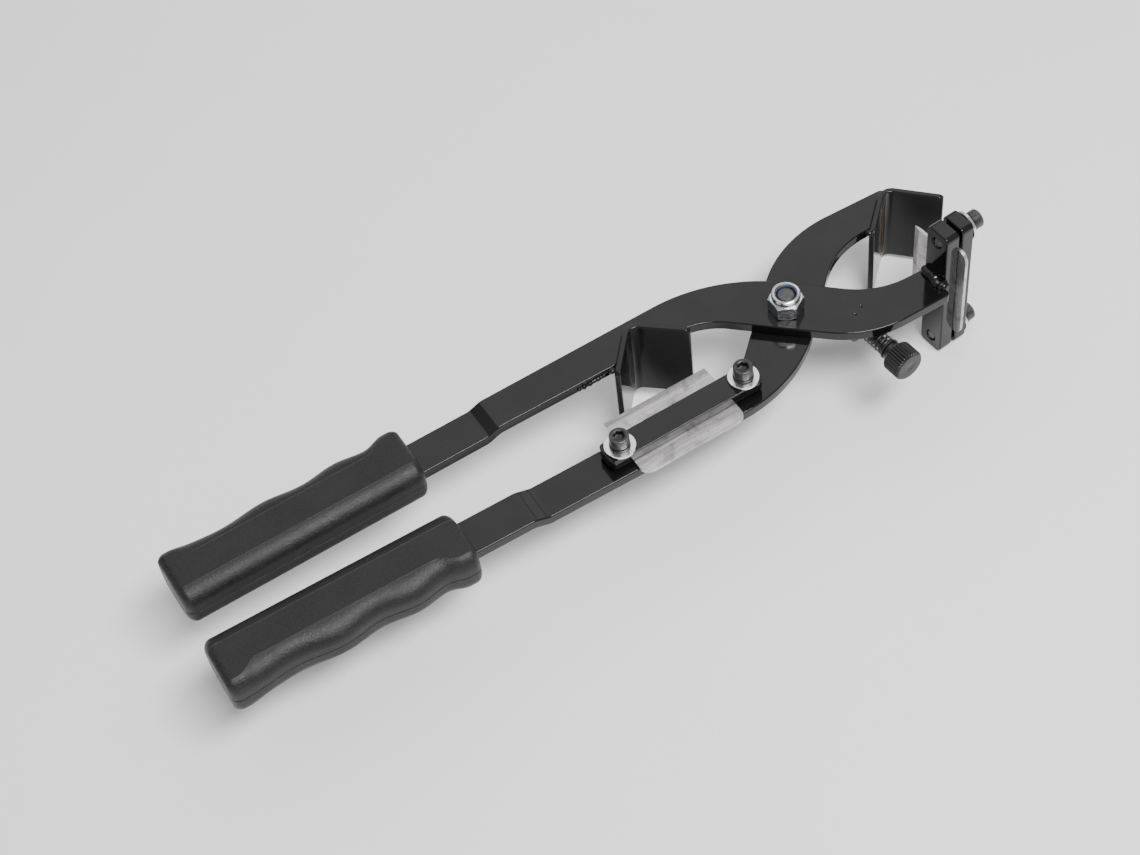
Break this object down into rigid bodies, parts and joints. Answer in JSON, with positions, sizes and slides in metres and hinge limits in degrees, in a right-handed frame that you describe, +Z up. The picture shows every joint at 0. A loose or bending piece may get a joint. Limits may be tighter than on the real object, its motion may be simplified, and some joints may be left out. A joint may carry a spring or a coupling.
{
  "type": "cable jacket cutting pliers",
  "caption": "Long-handled crossed-arm pliers with flat and upright clamped blades facing V anvils, a sprung fluted stop screw and moulded finger grips.",
  "frame": {"origin": "centre of the tool's box at the height of its lowest point, with the arms level", "axes": "+X along the tool's symmetry line towards the head, +Z up along the pivot's axis"},
  "size_m": [0.4472, 0.106, 0.088],
  "materials": {
    "black_enamel": "gloss",
    "black_oxide": "satin black oxide",
    "bright_zinc": "bright zinc plate",
    "blade_steel": "ground and lightly scratched",
    "grip_plastic": "fine spark texture",
    "nylon": "semi-gloss"
  },
  "bodies": {
    "upper_arm_body": {"upper_arm": "black_enamel", "upper_grip_top_shell": "grip_plastic", "upper_grip_bottom_shell": "grip_plastic", "mid_v_anvil": "black_enamel", "head_seat_block": "black_enamel", "head_blade": "blade_steel", "head_clamp_block": "black_enamel", "head_upper_screw": "black_oxide", "head_upper_lock_washer": "black_oxide", "head_upper_flat_washer": "bright_zinc", "head_lower_screw": "black_oxide", "head_lower_lock_washer": "black_oxide", "head_lower_flat_washer": "bright_zinc", "pivot_bolt": "black_oxide", "pivot_nut": "bright_zinc", "pivot_nut_insert": "nylon", "stop_lug": "black_enamel", "stop_spring": "black_oxide"},
    "lower_arm_body": {"lower_arm": "black_enamel", "lower_grip_top_shell": "grip_plastic", "lower_grip_bottom_shell": "grip_plastic", "head_v_anvil": "black_enamel", "mid_blade": "blade_steel", "mid_clamp_bar": "black_enamel", "mid_butt_end_screw": "black_oxide", "mid_butt_end_lock_washer": "black_oxide", "mid_butt_end_flat_washer": "bright_zinc", "mid_pivot_end_screw": "black_oxide", "mid_pivot_end_lock_washer": "black_oxide", "mid_pivot_end_flat_washer": "bright_zinc"},
    "stop_carriage": {"stop_spring_washer": "black_oxide"},
    "stop_screw_body": {"stop_screw": "black_oxide", "stop_knob": "black_oxide"}
  },
  "joints": [
    {"name": "handle_pivot", "type": "hinge", "parent": "upper_arm_body", "child": "lower_arm_body", "pos_m": [0.11116, 0.00665, 0.0494], "axis": [0, 0, 1], "range_deg": [-3.2, 30]},
    {"name": "stop_screw_travel", "type": "slide", "parent": "upper_arm_body", "child": "stop_carriage", "axis": [0.0993, -0.9951, 0], "range_m": [0, 0.008], "deforming": ["stop_spring"]},
    {"name": "stop_screw_turn", "type": "hinge", "parent": "stop_carriage", "child": "stop_screw_body", "pos_m": [0.14176, -0.01985, 0.0438], "axis": [0.0993, -0.9951, 0], "range_deg": [0, 2883]}
  ],
  "couplings": [
    {"joint": "stop_screw_turn", "follows": "stop_screw_travel", "rad_per_m": 6283.2}
  ]
}
